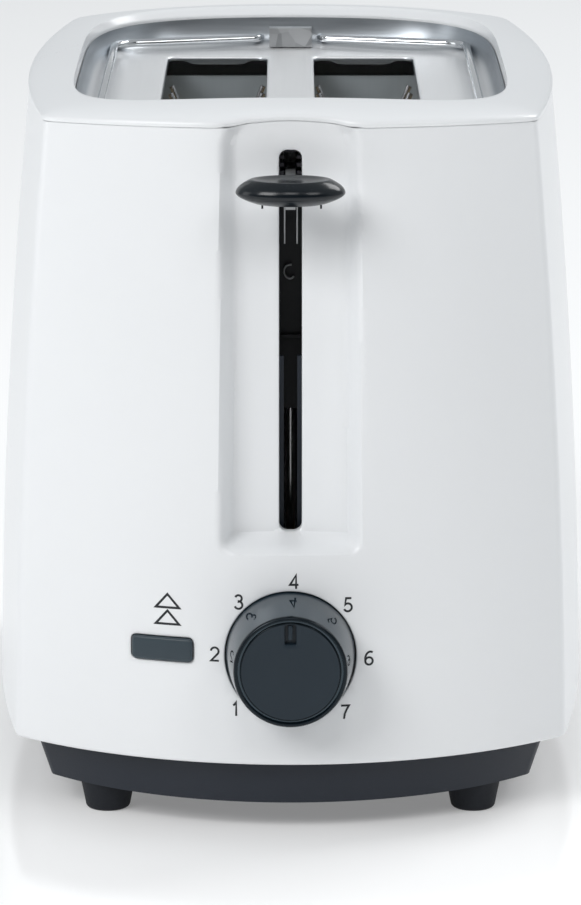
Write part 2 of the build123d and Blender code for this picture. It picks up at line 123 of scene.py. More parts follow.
KNOB_LOW = 169.4
KNOB_HIGH = 175.8
KNOB_BACK = 118.0
KNOB_FRONT = 136.5
KNOB_HALF = 14.2
NUMBER_RADIUS = 20.3
NUMBER_HEIGHT = 3.75
NUMBER_STROKE = 0.55
NUMBER_SHIFT = (0.4, -0.35)
NUMBER_TURN = 1.6
MARK_X = -32.4
MARK_LIFT = 0.05

# Strength of the surroundings on the viewer's side and elsewhere, and the floor's own glow
WORLD_FRONT = 0.0
WORLD = 0.522
FLOOR_GLOW = 0.22
# Soft boxes: name, place (m), size (m), power (W)
LIGHTS = [
    ("front_left_high", (-1.2, -1.6, 1.5), (1.0, 1.0), 27.0),
    ("left", (-2.0, -0.2, 0.7), (0.8, 1.2), 4.2),
    ("rear_right", (1.3, 1.0, 1.5), (1.0, 1.0), 17.0),
    ("front_high", (0.0, -1.7, 1.65), (0.6, 0.6), 5.2),
    ("front_right_high", (1.1, -1.5, 1.5), (0.7, 0.7), 6.2),
]


# ------------------------------------------------------------ shader building
class Value:
    """A shader socket that takes part in Python expressions."""

    def __init__(self, finish, socket):
        self.finish = finish
        self.socket = socket

    def maths(self, operation, *values):
        return self.finish.node("ShaderNodeMath", {"operation": operation}, dict(enumerate(values)))

    def __add__(self, other):
        return self.maths("ADD", self, other)

    def __radd__(self, other):
        return self.maths("ADD", other, self)

    def __sub__(self, other):
        return self.maths("SUBTRACT", self, other)

    def __rsub__(self, other):
        return self.maths("SUBTRACT", other, self)

    def __mul__(self, other):
        return self.maths("MULTIPLY", self, other)

    def __rmul__(self, other):
        return self.maths("MULTIPLY", other, self)

    def above(self, other):
        return self.maths("GREATER_THAN", self, other)


class Finish:
    """A procedural material round one Principled shader."""

    def __init__(self, name, **constants):
        self.material = bpy.data.materials.new(name)
        self.material.use_nodes = True
        self.tree = self.material.node_tree
        self.tree.nodes.clear()
        self.shader = self.tree.nodes.new("ShaderNodeBsdfPrincipled")
        out = self.tree.nodes.new("ShaderNodeOutputMaterial")
        self.tree.links.new(self.shader.outputs[0], out.inputs["Surface"])
        for key, value in constants.items():
            socket = key.replace("_", " ").title().replace("Ior", "IOR")
            self.shader.inputs[socket].default_value = value
        self.place = self.node("ShaderNodeTexCoord", output="Object")

    def node(self, kind, settings=None, values=None, output=0):
        """Adds one node with its settings, then the values or links of its sockets."""
        made = self.tree.nodes.new(kind)
        for key, value in (settings or {}).items():
            if key == "stops":
                ramp = made.color_ramp
                while len(ramp.elements) < len(value):
                    ramp.elements.new(0.5)
                for element, (place, colour) in zip(ramp.elements, value):
                    element.position = place
                    element.color = (*colour, 1)
            else:
                setattr(made, key, value)
        for key, value in (values or {}).items():
            if isinstance(value, Value):
                self.tree.links.new(value.socket, made.inputs[key])
            elif isinstance(value, tuple) and made.inputs[key].type == "RGBA":
                made.inputs[key].default_value = (*value, 1)
            else:
                made.inputs[key].default_value = value
        return Value(self, made.outputs[output])

    def stretched(self, x, y, z):
        """Object coordinates scaled by a different amount along each axis."""
        return self.node("ShaderNodeVectorMath", {"operation": "MULTIPLY"}, {0: self.place, 1: (x, y, z)})

    def noise(self, scale, detail=3.0, place=None, rough=0.55):
        values = {"Vector": place or self.place, "Scale": scale, "Detail": detail, "Roughness": rough}
        return self.node("ShaderNodeTexNoise", None, values)

    def cells(self, scale):
        """Grey that differs from cell to cell."""
        cell = self.node("ShaderNodeTexVoronoi", None, {"Vector": self.place, "Scale": scale}, "Color")
        return self.node("ShaderNodeRGBToBW", None, {0: cell})

    def mix(self, amount, first, second):
        return self.node("ShaderNodeMix", {"data_type": "RGBA"}, {0: amount, 6: first, 7: second}, 2)

    def ramp(self, amount, *stops):
        return self.node("ShaderNodeValToRGB", {"stops": stops}, {"Fac": amount})

    def bump(self, height, depth, strength=1.0):
        values = {"Height": height, "Distance": depth, "Strength": strength}
        self.feed(Normal=self.node("ShaderNodeBump", None, values))

    def feed(self, **sockets):
        """Links what changes over the surface to the shader."""
        for key, value in sockets.items():
            self.tree.links.new(value.socket, self.shader.inputs[key.replace("_", " ")])


# ------------------------------------------------------------ finishes
def moulded_white(name, roughness, shade):
    """Satin white housing plastic with a faint moulded skin."""
    finish = Finish(name, specular_ior_level=0.5, coat_weight=0.12, coat_roughness=0.12)
    drift = finish.noise(14, 2)
    skin = finish.noise(1500, 2)
    tone = finish.mix(drift, tuple(c * 0.975 for c in shade), shade)
    speck = finish.noise(5200, 1).above(0.71)
    finish.feed(Base_Color=finish.mix(speck * 0.08, tone, tuple(c * 0.8 for c in shade)))
    finish.feed(Roughness=roughness + (drift - 0.5) * 0.08 + (skin - 0.5) * 0.06)
    finish.bump(skin + finish.noise(320, 2) * 0.8, 0.00002, 0.55)
    return finish.material


def grained_plastic(name, shade, roughness, grain, depth):
    """Dark moulded plastic with an eroded grain and paler dust in its hollows."""
    finish = Finish(name, specular_ior_level=0.32)
    pits = finish.noise(grain, 4, rough=0.65)
    drift = finish.noise(40, 3)
    pale = tuple(min(1.0, c * 1.35 + 0.004) for c in shade)
    finish.feed(Base_Color=finish.mix(drift * 0.6 + pits * 0.3, shade, pale))
    finish.feed(Roughness=roughness + (pits - 0.5) * 0.22 + (drift - 0.5) * 0.1)
    finish.bump(pits, depth, 0.6)
    return finish.material


def gloss_plastic(name, shade, roughness, shine, tint=(1, 1, 1)):
    """Polished dark plastic with faint handling haze and fine dust."""
    finish = Finish(name, specular_ior_level=shine)
    finish.shader.inputs["Specular Tint"].default_value = (*tint, 1)
    haze = finish.noise(90, 4)
    dust = finish.noise(3800, 1).above(0.74)
    finish.feed(Base_Color=finish.mix(dust * 0.25, shade, (0.2, 0.21, 0.22)))
    finish.feed(Roughness=roughness + haze * haze * 0.16)
    finish.bump(finish.noise(260, 2), 0.00003, 0.4)
    return finish.material


def brushed_sheet(name, shade, along, roughness, metallic=1.0):
    """Steel sheet with fine rolling lines along one axis and soft cloudy wear."""
    finish = Finish(name, metallic=metallic)
    stretch = [900.0, 900.0, 900.0]
    stretch[along] = 14.0
    lines = finish.noise(1.0, 5, finish.stretched(*stretch), 0.7)
    cloud = finish.noise(22, 3)
    dark = tuple(c * 0.82 for c in shade)
    finish.feed(Base_Color=finish.mix(lines * 0.7 + cloud * 0.3, dark, shade))
    finish.feed(Roughness=roughness + (lines - 0.5) * 0.22 + (cloud - 0.5) * 0.12)
    finish.bump(lines, 0.00001, 0.5)
    return finish.material


def pressed_recess(name):
    """Stainless pressing: brushed along its floor and mirror-like on its drawn walls; the walls and the
    flange under the floor are coloured darker as a painted dark reflection.
    """
    finish = Finish(name, metallic=1.0)
    lines = finish.noise(1.0, 5, finish.stretched(1100, 12, 900), 0.7)
    drawn = finish.noise(1.0, 4, finish.stretched(60, 60, 700), 0.6)
    cloud = finish.noise(22, 3)
    height = finish.node("ShaderNodeSeparateXYZ", None, {0: finish.place}, 2)
    smooth = {"interpolation_type": "SMOOTHSTEP"}
    rise = finish.node("ShaderNodeMapRange", smooth, {0: height, 1: 0.1803, 2: 0.1822})
    # Mask of the walls above the rise and of the flange below the floor, which get the painted dark
    # reflection
    wall = rise + (1 - height.above(0.1794))
    floor_tone = finish.mix(lines * 0.7 + cloud * 0.3, (0.74, 0.75, 0.76), (0.88, 0.89, 0.90))
    # Painted dark reflection: wall and flange colour much darker than the brushed floor
    wall_painted_reflection = finish.mix(drawn, (0.31, 0.34, 0.37), (0.46, 0.49, 0.52))
    finish.feed(Base_Color=finish.mix(wall, floor_tone, wall_painted_reflection), Metallic=0.45 + wall * 0.55)
    finish.feed(Roughness=(1 - wall) * (0.34 + (lines - 0.5) * 0.2) + wall * (0.34 + drawn * 0.08))
    finish.bump(lines * (1 - wall) + drawn * wall, 0.00001, 0.5)
    return finish.material


def painted_shade_steel(name):
    """Near-black steel sheet, a painted shade for plates that sit in the dark inside the housing."""
    finish = Finish(name, metallic=0.6)
    cloud = finish.noise(160, 4)
    finish.feed(Base_Color=finish.mix(cloud, (0.018, 0.019, 0.021), (0.045, 0.047, 0.05)))
    finish.feed(Roughness=0.38 + cloud * 0.2)
    finish.bump(finish.noise(900, 3), 0.00002, 0.4)
    return finish.material


def zinc_sheet(name):
    """Galvanised sheet with small spangles."""
    finish = Finish(name, metallic=0.9)
    grey = finish.cells(260)
    finish.feed(Base_Color=finish.mix(grey, (0.36, 0.37, 0.38), (0.56, 0.57, 0.58)))
    finish.feed(Roughness=0.34 + grey * 0.16)
    finish.bump(finish.noise(700, 3), 0.00003, 0.5)
    return finish.material


def polished_wire(name, shade, roughness):
    """Drawn and plated wire with faint draw marks."""
    finish = Finish(name, metallic=1.0)
    marks = finish.noise(1.0, 3, finish.stretched(1600, 60, 1600))
    finish.feed(Base_Color=finish.mix(marks, tuple(c * 0.88 for c in shade), shade))
    finish.feed(Roughness=roughness + marks * 0.09)
    finish.bump(marks, 0.000006, 0.4)
    return finish.material


def mica_sheet(name):
    """Flaky amber mica."""
    finish = Finish(name, coat_weight=0.3, coat_roughness=0.2)
    grey = finish.cells(210)
    tones = ((0.0, (0.20, 0.15, 0.09)), (0.6, (0.42, 0.35, 0.24)), (1.0, (0.62, 0.56, 0.43)))
    tint = finish.ramp(grey, *tones)
    finish.feed(Base_Color=tint, Roughness=0.3 + grey * 0.3)
    finish.bump(finish.noise(900, 3), 0.00004, 0.5)
    return finish.material


def heated_ribbon(name):
    """Resistance ribbon with a dull oxide bloom."""
    finish = Finish(name, metallic=1.0)
    bloom = finish.noise(180, 4)
    tones = ((0.3, (0.12, 0.11, 0.11)), (0.55, (0.27, 0.23, 0.20)), (0.8, (0.20, 0.21, 0.27)))
    tint = finish.ramp(bloom, *tones)
    finish.feed(Base_Color=tint, Roughness=0.35 + bloom * 0.3)
    return finish.material


def copper_winding(name):
    """Enamelled copper turns."""
    finish = Finish(name, metallic=0.85, coat_weight=0.6, coat_roughness=0.1)
    values = {"Vector": finish.place, "Scale": 420.0}
    wave = finish.node("ShaderNodeTexWave", {"bands_direction": "Z"}, values, "Fac")
    finish.feed(Base_Color=finish.mix(wave, (0.22, 0.07, 0.03), (0.72, 0.30, 0.12)))
    finish.feed(Roughness=0.2 + finish.noise(300, 2) * 0.2)
    finish.bump(wave, 0.0001, 0.7)
    return finish.material


def printed_board(name):
    """Phenolic board with copper tracks under lacquer."""
    finish = Finish(name, coat_weight=0.4, coat_roughness=0.15)
    tracks = finish.noise(1.0, 0, finish.stretched(90, 90, 260)).above(0.56)
    finish.feed(Base_Color=finish.mix(tracks, (0.30, 0.17, 0.06), (0.42, 0.27, 0.10)))
    finish.feed(Roughness=0.35 + finish.noise(500, 2) * 0.2)
    finish.bump(tracks, 0.00003, 0.6)
    return finish.material


def ink(name):
    """Near-black pad-printed ink."""
    finish = Finish(name)
    cover = finish.noise(2600, 3)
    finish.feed(Base_Color=finish.mix(cover, (0.008, 0.010, 0.013), (0.018, 0.021, 0.025)))
    finish.feed(Roughness=0.42 + cover * 0.15)
    return finish.material


def floor_paint(name):
    """White studio sweep with a polished face that mirrors a little."""
    finish = Finish(name, specular_ior_level=0.5, emission_strength=FLOOR_GLOW)
    cloud = finish.noise(1.6, 2)
    finish.feed(Base_Color=finish.mix(cloud, (0.90, 0.90, 0.90), (0.93, 0.93, 0.93)))
    finish.feed(Roughness=0.10 + cloud * 0.05)
    finish.shader.inputs["Emission Color"].default_value = (1, 1, 1, 1)
    return finish.material


FINISHES = {
    "white_plastic": moulded_white("white_plastic", 0.30, (0.80, 0.815, 0.83)),
    "dark_plastic": grained_plastic("dark_plastic", (0.010, 0.014, 0.022), 0.48, 1800, 0.00005),
    "gloss_black": gloss_plastic("gloss_black", (0.005, 0.008, 0.011), 0.16, 0.35),
    "button_grey": grained_plastic("button_grey", (0.030, 0.043, 0.053), 0.36, 2600, 0.00002),
    "rubber": grained_plastic("rubber", (0.006, 0.008, 0.012), 0.70, 1200, 0.00008),
    "stainless": pressed_recess("stainless"),
    "chrome_wire": polished_wire("chrome_wire", (0.66, 0.68, 0.70), 0.07),
    "galvanised": zinc_sheet("galvanised"),
    "reflector": brushed_sheet("reflector", (0.62, 0.62, 0.62), 2, 0.22),
    "mica": mica_sheet("mica"),
    "ribbon": heated_ribbon("ribbon"),
    "spring_steel": polished_wire("spring_steel", (0.60, 0.60, 0.61), 0.20),
    "copper": copper_winding("copper"),
    "board": printed_board("board"),
    "components": grained_plastic("components", (0.02, 0.02, 0.024), 0.42, 900, 0.00004),
    "white_wire": grained_plastic("white_wire", (0.55, 0.55, 0.53), 0.45, 1500, 0.00002),
}
HEATED_SHEET = brushed_sheet("heated_sheet", (0.42, 0.47, 0.50), 2, 0.40, 0.35)
PAINTED_SHADE_SHEET = painted_shade_steel("painted_shade_plates")
DIAL_FACE = grained_plastic("dial_face", (0.008, 0.016, 0.024), 0.40, 3200, 0.000015)
DIAL_GLOSS = gloss_plastic("dial_gloss", (0.003, 0.012, 0.021), 0.05, 0.85, (0.70, 0.88, 1.0))
DIAL_EDGE = gloss_plastic("dial_edge", (0.004, 0.007, 0.010), 0.12, 0.24, (0.80, 0.92, 1.0))
INK = ink("pad_ink")


# ------------------------------------------------------------ mesh building
def piece(name, points, faces, finish, body, sharp=32.0):
    """Turns millimetre points and faces into a piece that rides on a body."""
    mesh = bpy.data.meshes.new(name)
    mesh.from_pydata([(x / 1000, (y + SHIFT_Y) / 1000, z / 1000) for x, y, z in points], [], faces)
    work = bmesh.new()
    work.from_mesh(mesh)
    bmesh.ops.remove_doubles(work, verts=work.verts, dist=0.000004)
    for face in work.faces:
        face.smooth = True
    for edge in work.edges:
        if len(edge.link_faces) == 2 and edge.calc_face_angle(0.0) > math.radians(sharp):
            edge.smooth = False
    work.to_mesh(mesh)
    work.free()
    mesh.materials.append(finish)
    made = bpy.data.objects.new(name, mesh)
    bpy.context.collection.objects.link(made)
    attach(made, body)
    return made


def stitched(loops, closed=True):
    """Points and quads of a skin through loops of equal length."""
    points = [point for loop in loops for point in loop]
    count = len(loops[0])
    faces = []
    for row in range(len(loops) - 1):
        for i in range(count if closed else count - 1):
            j = (i + 1) % count
            low, high = row * count, (row + 1) * count
            faces.append((low + i, low + j, high + j, high + i))
    return points, faces


def joined(*skins):
    """Several (points, faces) skins as one."""
    points = []
    faces = []
    for more_points, more_faces in skins:
        start = len(points)
        points.extend(more_points)
        faces.extend(tuple(i + start for i in face) for face in more_faces)
    return points, faces


def blend(t):
    """Smooth step from 0 to 1."""
    t = min(1.0, max(0.0, t))
    return t * t * (3 - 2 * t)


def rounded_rectangle(cx, cz, half_x, half_z, corner, step=0.7, straights=None):
    """Closed outline with rounded corners; straights fixes the number of steps along its sides."""
    outline = []
    for quarter, (sx, sz) in enumerate(((1, 1), (-1, 1), (-1, -1), (1, -1))):
        turn = quarter * math.pi / 2
        mx = cx + sx * (half_x - corner)
        mz = cz + sz * (half_z - corner)
        for i in range(7):
            a = turn + math.pi / 2 * i / 6
            outline.append((mx + corner * math.cos(a), mz + corner * math.sin(a)))
    full = []
    for i, start in enumerate(outline):
        end = outline[(i + 1) % len(outline)]
        length = math.dist(start, end)
        pieces = max(1, round(length / (step if length < 6 else 2.0)))
        if straights:
            pieces = straights[i // 7 % 2] if i % 7 == 6 else 1
        for k in range(pieces):
            t = k / pieces
            full.append((start[0] + (end[0] - start[0]) * t, start[1] + (end[1] - start[1]) * t))
    return full


def circle(cx, cz, radius, count=96):
    """Closed round outline."""
    angles = [2 * math.pi * i / count for i in range(count)]
    return [(cx + radius * math.cos(a), cz + radius * math.sin(a)) for a in angles]


def inside(outline, x, z):
    """Whether a point lies in a closed outline."""
    hit = False
    for i, (x0, z0) in enumerate(outline):
        x1, z1 = outline[i - 1]
        if (z0 > z) != (z1 > z) and x < (x1 - x0) * (z - z0) / (z1 - z0) + x0:
            hit = not hit
    return hit


def near(outline, x, z, reach):
    """Whether a point lies within reach of an outline's points."""
    return any(abs(px - x) < reach and math.hypot(px - x, pz - z) < reach for px, pz in outline)


def sheet_with_holes(boundary, seeds, holes):
    """Flat triangulation of a boundary loop with holes.
    Each hole is a list of loops from its edge outwards. Returns the flat points and triangles."""
    flat = [Vector(point) for point in boundary]
    edges = [(i, (i + 1) % len(boundary)) for i in range(len(boundary))]
    for rings in holes:
        for ring in rings:
            start = len(flat)
            flat.extend(Vector(point) for point in ring)
            edges.extend((start + i, start + (i + 1) % len(ring)) for i in range(len(ring)))
    for x, z in seeds:
        if not any(inside(rings[-1], x, z) or near(rings[-1], x, z, 0.9) for rings in holes):
            flat.append(Vector((x, z)))
    points, _, faces, _, _, _ = delaunay_2d_cdt(flat, edges, [], 0, 1e-6)
    kept = []
    for face in faces:
        x = sum(points[i][0] for i in face) / len(face)
        z = sum(points[i][1] for i in face) / len(face)
        if inside(boundary, x, z) and not any(inside(rings[0], x, z) for rings in holes):
            kept.append(tuple(face))
    return [tuple(point) for point in points], kept


# ------------------------------------------------------------ housing surface
def profile(values, z):
    """Half size of the tapering housing at a height."""
    t = (z - BODY_LOW) / (BODY_HIGH - BODY_LOW)
    return values[0] - values[1] * t - values[2] * t * t


def bow(across, reach, middle, corner):
    """Height of a shallow arc through a face's middle and its two edges."""
    rise = middle - corner
    radius = (reach * reach + rise * rise) / (2 * rise)
    return middle - radius + math.sqrt(radius * radius - across * across)


def end_face(x, z):
    """Distance of the front or rear face from the middle."""
    return bow(x, profile(CORNER_X, z), profile(END_MID, z), profile(CORNER_Y, z))


def side_face(y, z):
    """Distance of a side face from the middle."""
    return bow(y, profile(CORNER_Y, z), profile(SIDE_MID, z), profile(CORNER_X, z))


def foot_inset(z):
    """Rounding of the housing's lower edge."""
    lift = min(FOOT_ROUND, z - BODY_LOW)
    return FOOT_ROUND - math.sqrt(max(0.0, FOOT_ROUND ** 2 - (FOOT_ROUND - lift) ** 2))


def pocket(x, z):
    """Depth of the lever pocket below the front face."""
    t = (z - POCKET_LOW) / (BODY_HIGH - POCKET_LOW)
    middle = POCKET_DEPTH[0] - POCKET_DEPTH[1] * t
    fade_low, fade_high, loss = POCKET_FADE
    middle *= 1 - loss * blend((z - fade_low) / (fade_high - fade_low))
    floor = middle - min(POCKET_BOW, middle * 0.5) * (x / POCKET_HALF) ** 2
    side = POCKET_HALF - abs(x)
    lid = POCKET_TOP - z
    if side < POCKET_CORNER and lid < POCKET_CORNER:
        side = POCKET_CORNER - math.hypot(POCKET_CORNER - side, POCKET_CORNER - lid)
    foot = blend((z - POCKET_LOW) / POCKET_BLEND)
    return max(0.0, floor) * blend(side / POCKET_BLEND) * foot


def seam_crown(x):
    """Slight rise of the seam between housing and rim towards the middle of an end."""
    return SEAM_CROWN * max(0.0, 1 - (x / SEAM_HALF) ** 2)


def top_edge(x):
    """Height of the housing's front upper edge, which arches over the pocket."""
    arch = max(0.0, 1 - (x / RIM_ARCH_HALF) ** 2) ** 1.15
    return BODY_HIGH + seam_crown(x) + RIM_ARCH * arch


def front_surface(x, z):
    """Point of the front face, with the lever pocket."""
    return (x, -(end_face(x, min(z, TAPER_END)) - foot_inset(z)) + pocket(x, z), z)


def rear_surface(x, z):
    """Point of the rear face."""
    return (x, end_face(x, min(z, TAPER_END)) - foot_inset(z), z)


def hole_rings(outline_at):
    """Loops round a hole from its edge to where its rounding ends."""
    return [outline_at(step) for step in (0.0, 0.08, 0.22, HOLE_ROUND)]


def rounding(distance, radius):
    """Sink of a rounded edge at a distance from it."""
    if distance >= radius:
        return 0.0
    return radius - math.sqrt(max(0.0, radius * radius - (radius - distance) ** 2))


def front_holes():
    """Loops of the lever slot, the dial hole and the button hole."""
    middle = (SLOT_LOW + SLOT_HIGH) / 2
    half = (SLOT_HIGH - SLOT_LOW) / 2
    slot = hole_rings(lambda d: rounded_rectangle(0, middle, SLOT_HALF + d, half + d, SLOT_CORNER + d))
    dial = hole_rings(lambda d: circle(0, CONTROL_Z, DIAL_HOLE_R + d, 120))
    wide = BUTTON_HALF[0] + BUTTON_GAP
    high = BUTTON_HALF[1] + BUTTON_GAP
    corner = BUTTON_CORNER
    button = hole_rings(lambda d: rounded_rectangle(BUTTON_X, BUTTON_Z, wide + d, high + d, corner + d))
    return [slot, dial, button]


def rows():
    """Heights of the housing's mesh rows."""
    low = [BODY_LOW, 20.08, 20.25, 20.5, 20.8, 21.6, 23.2]
    return low + [25.5 + ROW_STEP * i for i in range(64)] + [185.2, BODY_HIGH]


def face_panel(sign, holes, surface, finer):
    """Skin of the front or rear face, with hole walls that run inwards."""
    zs = rows()
    scale = profile(CORNER_X, BODY_LOW)
    reach = scale - EDGE_TANGENT
    spread = [-reach + 2 * reach * i / 56 for i in range(57)]

    def flat(x, z):
        return (x * scale / profile(CORNER_X, min(z, BODY_HIGH)), z)

    boundary = [(p, BODY_LOW) for p in spread]
    boundary += [(reach, z) for z in zs[1:-1]]
    top = [reach - 2 * reach * i / 112 for i in range(113)]
    rise = top_edge if finer else lambda x: BODY_HIGH + seam_crown(x)
    boundary += [(p, rise(p * profile(CORNER_X, BODY_HIGH) / scale)) for p in top]
    boundary += [(-reach, z) for z in zs[-2:0:-1]]
    seeds = [(p, z) for p in spread[1:-1] for z in zs[1:-1]]
    if finer:
        columns = [-24 + 1.0 * i for i in range(49)]
        levels = [72 + 1.0 * i for i in range(115)]
        seeds += [(p + 0.37, z + 0.21) for p in columns for z in levels if z < 185.2]
    flat_holes = [[[flat(x, z) for x, z in ring] for ring in rings] for rings in holes]
    points, faces = sheet_with_holes(boundary, seeds, flat_holes)
    placed = []
    for p, z in points:
        x = p * profile(CORNER_X, min(z, BODY_HIGH)) / scale
        sink = 0.0
        for rings in holes:
            if near(rings[0], x, z, 2.4):
                gap = min(distance_to(rings[0], x, z), HOLE_ROUND)
                sink = max(sink, rounding(gap, HOLE_ROUND))
        px, py, pz = surface(x, z)
        placed.append((px, py - sign * sink, pz))
    skins = [(placed, faces)]
    for rings in holes:
        edge = []
        for x, z in rings[0]:
            px, py, pz = surface(x, z)
            edge.append((px, py - sign * HOLE_ROUND, pz))
        deep = [(x, y - sign * SHELL, z) for x, y, z in edge]
        skins.append(stitched([edge, deep] if sign > 0 else [deep, edge]))
    return joined(*skins)


def distance_to(outline, x, z):
    """Shortest distance from a point to a closed outline."""
    best = 1e9
    for i, (x0, z0) in enumerate(outline):
        x1, z1 = outline[i - 1]
        dx, dz = x1 - x0, z1 - z0
        t = ((x - x0) * dx + (z - z0) * dz) / (dx * dx + dz * dz)
        t = min(1.0, max(0.0, t))
        best = min(best, math.hypot(x - x0 - dx * t, z - z0 - dz * t))
    return best


def upright_edge(sx, sy):
    """Columns of points round one softened upright edge, from the end face to the side."""
    scale = profile(CORNER_X, BODY_LOW)
    columns = []
    for step in range(5):
        t = step / 5
        line = []
        for z in rows():
            x = (scale - EDGE_TANGENT) * profile(CORNER_X, z) / scale
            y = profile(CORNER_Y, z) - EDGE_TANGENT
            a = Vector((x, end_face(x, z) - foot_inset(z)))
            b = Vector((side_face(y, z) - foot_inset(z), y))
            corner = Vector((profile(CORNER_X, z), profile(CORNER_Y, z)))
            c = corner - Vector((0.9, 0.6)) * foot_inset(z)
            spot = a * (1 - t) ** 2 + c * 2 * t * (1 - t) + b * t * t
            line.append((sx * spot.x, sy * spot.y, z))
        columns.append(line)
    return columns


def housing_shell():
    """Barrel housing: bowed faces, softened upright edges, lever pocket and holes."""
    front = face_panel(-1, front_holes(), front_surface, True)
    gland = [hole_rings(lambda d: circle(0, GLAND_Z, GLAND_R + d, 48))]
    rear = face_panel(1, gland, rear_surface, False)
    skins = [front, (rear[0], [face[::-1] for face in rear[1]])]
    for sx in (-1, 1):
        columns = [upright_edge(sx, sy) for sy in (-1, 1)]
        middle = []
        for i in range(49):
            line = []
            for z in rows():
                y = (profile(CORNER_Y, z) - EDGE_TANGENT) * (i / 24 - 1)
                line.append((sx * (side_face(y, z) - foot_inset(z)), y, z))
            middle.append(line)
        points, faces = stitched(columns[0] + middle + columns[1][::-1], closed=False)
        skins.append((points, faces if sx > 0 else [face[::-1] for face in faces]))
    points, faces = joined(*skins)
    shell = piece("housing_shell", points, faces, FINISHES["white_plastic"], "housing", 40)
    turn_under(shell, BODY_LOW, SHELL)
    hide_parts("body_shell")


def turn_under(shell, level, depth):
    """Gives an open lower edge its thickness: inwards, then up inside."""
    work = bmesh.new()
    work.from_mesh(shell.data)
    open_edges = [edge for edge in work.edges if edge.is_boundary]
    rim = [edge for edge in open_edges if all(abs(v.co.z * 1000 - level) < 0.02 for v in edge.verts)]
    for inward, lift in ((depth - FOOT_ROUND, 0.0), (0.0, FOOT_LIFT)):
        made = bmesh.ops.extrude_edge_only(work, edges=rim)["geom"]
        for vertex in (g for g in made if isinstance(g, bmesh.types.BMVert)):
            y = vertex.co.y - SHIFT_Y / 1000
            length = math.hypot(vertex.co.x, y)
            vertex.co.x -= vertex.co.x / length * inward / 1000
            vertex.co.y -= y / length * inward / 1000
            vertex.co.z += lift / 1000
        rim = [g for g in made if isinstance(g, bmesh.types.BMEdge)]
    bmesh.ops.recalc_face_normals(work, faces=work.faces)
    work.to_mesh(shell.data)
    work.free()


# ------------------------------------------------------------ rim and recess
# Places of a loop's points along each of its four sides, closer together near the corners
SPREAD = [math.sin(math.pi / 2 * (i / 20 - 1)) * 0.35 + (i / 20 - 1) * 0.65 for i in range(40)]


def oval(size, z):
    """Loop of a squared oval with its corners at fixed places in the loop."""
    hx, hy = size
    loop = []
    for side in range(4):
        for f in SPREAD:
            at_front = side == 0 or (side == 1 and f < 0) or (side == 3 and f > 0)
            n = SQUARE_FRONT if at_front else SQUARE_REAR
            cx = hx * 0.5 ** (1 / n)
            cy = hy * 0.5 ** (1 / n)
            if side in (0, 2):
                x = f * cx * (1 if side == 0 else -1)
                y = (-1 if side == 0 else 1) * hy * (1 - abs(x / hx) ** n) ** (1 / n)
            else:
                y = f * cy * (1 if side == 1 else -1)
                x = (1 if side == 1 else -1) * hx * (1 - abs(y / hy) ** n) ** (1 / n)
            loop.append((x, y, z))
    return loop


def outline(inset):
    """Loop of the housing's outline at its top edge, in step with the ovals, as (x, y) points."""
    loop = []
    cx = profile(CORNER_X, BODY_HIGH) - inset
    cy = profile(CORNER_Y, BODY_HIGH) - inset
    for side in range(4):
        for f in SPREAD:
            if side in (0, 2):
                x = f * cx * (1 if side == 0 else -1)
                y = (-1 if side == 0 else 1) * (bow(x, cx, profile(END_MID, BODY_HIGH) - inset, cy))
            else:
                y = f * cy * (1 if side == 1 else -1)
                x = (1 if side == 1 else -1) * (bow(y, cy, profile(SIDE_MID, BODY_HIGH) - inset, cx))
            loop.append((x, y))
    return softened(loop)


def softened(loop):
    """Rounds the loop's four corners a little without moving its straights."""
    count = len(loop)
    new = list(loop)
    for corner in range(0, count, len(SPREAD)):
        for i in range(corner - 2, corner + 3):
            around = zip(loop[(i - 1) % count], loop[i % count], loop[(i + 1) % count])
            new[i % count] = tuple((a + 2 * b + c) / 4 for a, b, c in around)
    return new


def crown(x):
    """Fall of the rim's crest from its middle line."""
    return CROWN * (x / CROWN_HALF) ** 2


def housing_rim():
    """White domed rim with a thin lip, a shallow arch over the pocket and a bevelled throat."""
    def notch(x, y):
        return pocket(x, BODY_HIGH) if y < 0 else 0.0

    def arch(x, y):
        return top_edge(x) - BODY_HIGH if y < 0 else seam_crown(x)

    loops = []
    edge = outline(-RIM_LIP)
    for inset, rise in ((1.1, -5.0), (1.0, 0.0), (0.3, 0.0), (0.08, 0.08), (0.0, 0.3)):
        base = outline(inset - RIM_LIP)
        loops.append([(x, y + notch(x, y), RIM_LOW + rise + arch(x, y)) for x, y in base])
    crest = oval(CREST, 0)
    for step in range(23):
        w = (step / 22) ** 1.7
        rise = math.sqrt(1 - (1 - w) ** 1.5)
        loop = []
        for (ex, ey), (qx, qy, _) in zip(edge, crest):
            ny = ey + notch(ex, ey) * (1 - w) ** 1.5
            x = ex + (qx - ex) * w
            y = ny + (qy - ny) * w
            low = RIM_DOME + arch(ex, ey)
            high = RIM_CREST - crown(qx)
            loop.append((x, y, low + (high - low) * rise))
        loops.append(loop)
    throat = oval(THROAT, 0)
    for t, drop in ((0.06, 0.05), (0.15, 0.16), (0.5, 0.9), (0.86, 1.75), (0.96, 2.05), (1.0, 2.3)):
        loop = []
        for (qx, qy, _), (tx, ty, _) in zip(crest, throat):
            x = qx + (tx - qx) * t
            loop.append((x, qy + (ty - qy) * t, RIM_CREST - crown(x) - drop))
        loops.append(loop)
    for drop in (2.6, 4.6):
        loops.append([(x, y, RIM_CREST - crown(x) - drop) for x, y, _ in throat])
    points, faces = stitched(loops)
    rim = piece("housing_rim", points, faces, FINISHES["white_plastic"], "housing", 45)
    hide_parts("top_cover")


